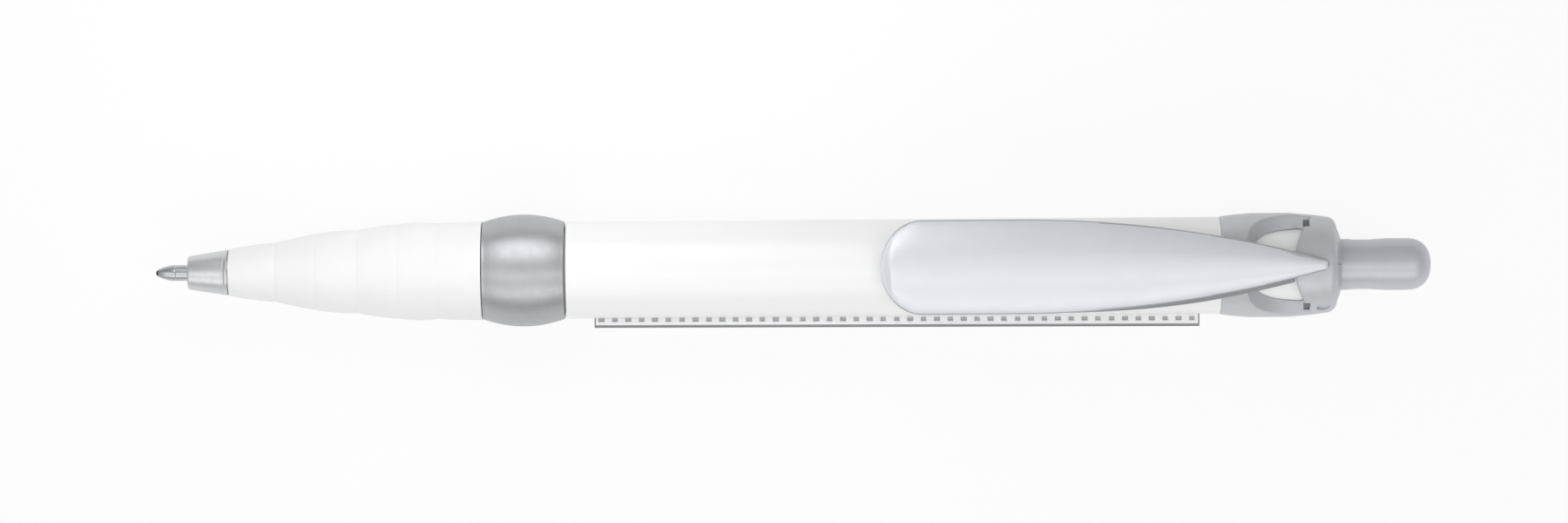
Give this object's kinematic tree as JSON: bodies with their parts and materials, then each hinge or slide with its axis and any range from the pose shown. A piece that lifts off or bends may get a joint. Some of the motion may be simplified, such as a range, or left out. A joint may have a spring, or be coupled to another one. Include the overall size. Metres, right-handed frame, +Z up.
{
  "type": "banner pen",
  "caption": "Retractable ballpoint pen with a rubber grip, a broad pocket clip and a banner that pulls out of a slot along its barrel and winds itself back.",
  "frame": {"origin": "below the middle of the pen's length, on the surface that it lies on, under the pen's axis", "axes": "+X along the pen from the writing point to the button, +Z up to the clip, -Y the way the banner pulls out"},
  "size_m": [0.148, 0.0135, 0.015],
  "materials": {
    "ball": "polished",
    "tip_metal": "turned, bright",
    "satin_metal": "satin",
    "spring_steel": "drawn wire",
    "rubber": "matte, white",
    "white_gloss": "glossy",
    "white_inner": "semi-gloss",
    "silver_plastic": "silver-grey, satin",
    "clip_plastic": "pale silver, satin",
    "button_plastic": "grey, satin",
    "refill_plastic": "translucent white",
    "banner_film": "thin white film",
    "bar_metal": "crimped, bright",
    "cam_plastic": "natural"
  },
  "bodies": {
    "barrel": {"nose_cone": "satin_metal", "lower_barrel": "white_inner", "grip_sleeve": "rubber", "trim_ring": "satin_metal", "barrel_tube": "white_gloss", "spool_bearing": "white_inner", "click_housing": "white_inner", "rear_cap": "silver_plastic"},
    "button": {"push_button": "button_plastic", "plunger": "cam_plastic"},
    "refill": {"refill_tip": "tip_metal", "refill_tube": "refill_plastic", "refill_spring": "spring_steel"},
    "ball": {"tip_ball": "ball"},
    "cam": {"rotating_cam": "cam_plastic"},
    "banner": {"pull_bar": "bar_metal", "banner_sheet": "banner_film"},
    "spool": {"spool_core": "cam_plastic", "spool_flange_front": "cam_plastic", "spool_flange_rear": "cam_plastic", "banner_roll": "banner_film", "return_spring": "spring_steel"},
    "clip": {"clip": "clip_plastic"}
  },
  "joints": [
    {"name": "button_slide", "type": "slide", "parent": "barrel", "child": "button", "axis": [1, 0, 0], "range_m": [-0.001, 0.0046]},
    {"name": "refill_slide", "type": "slide", "parent": "barrel", "child": "refill", "axis": [1, 0, 0], "range_m": [-0.001, 0.0046], "deforming": ["refill_spring"]},
    {"name": "cam_turn", "type": "hinge", "parent": "refill", "child": "cam", "pos_m": [0.05055, 0, 0.0065], "axis": [1, 0, 0], "continuous": true},
    {"name": "ball_roll", "type": "hinge", "parent": "refill", "child": "ball", "pos_m": [-0.0736, 0, 0.0065], "axis": [0, 1, 0], "continuous": true},
    {"name": "banner_pull", "type": "slide", "parent": "barrel", "child": "banner", "axis": [0, -1, 0], "range_m": [0, 0.17], "stiffness_N_per_m": 4, "springref_m": -0.05, "deforming": ["banner_sheet"]},
    {"name": "spool_turn", "type": "hinge", "parent": "barrel", "child": "spool", "pos_m": [0.012, 0, 0.0065], "axis": [1, 0, 0], "range_deg": [0, 3100], "deforming": ["return_spring"]},
    {"name": "clip_flex", "type": "hinge", "parent": "barrel", "child": "clip", "pos_m": [0.06206, 0, 0.012], "axis": [0, 1, 0], "range_deg": [0, 8], "stiffness_Nm_per_rad": 0.8}
  ],
  "couplings": [
    {"joint": "refill_slide", "follows": "button_slide", "ratio": 1},
    {"joint": "spool_turn", "follows": "banner_pull", "rad_per_m": 317.05}
  ]
}
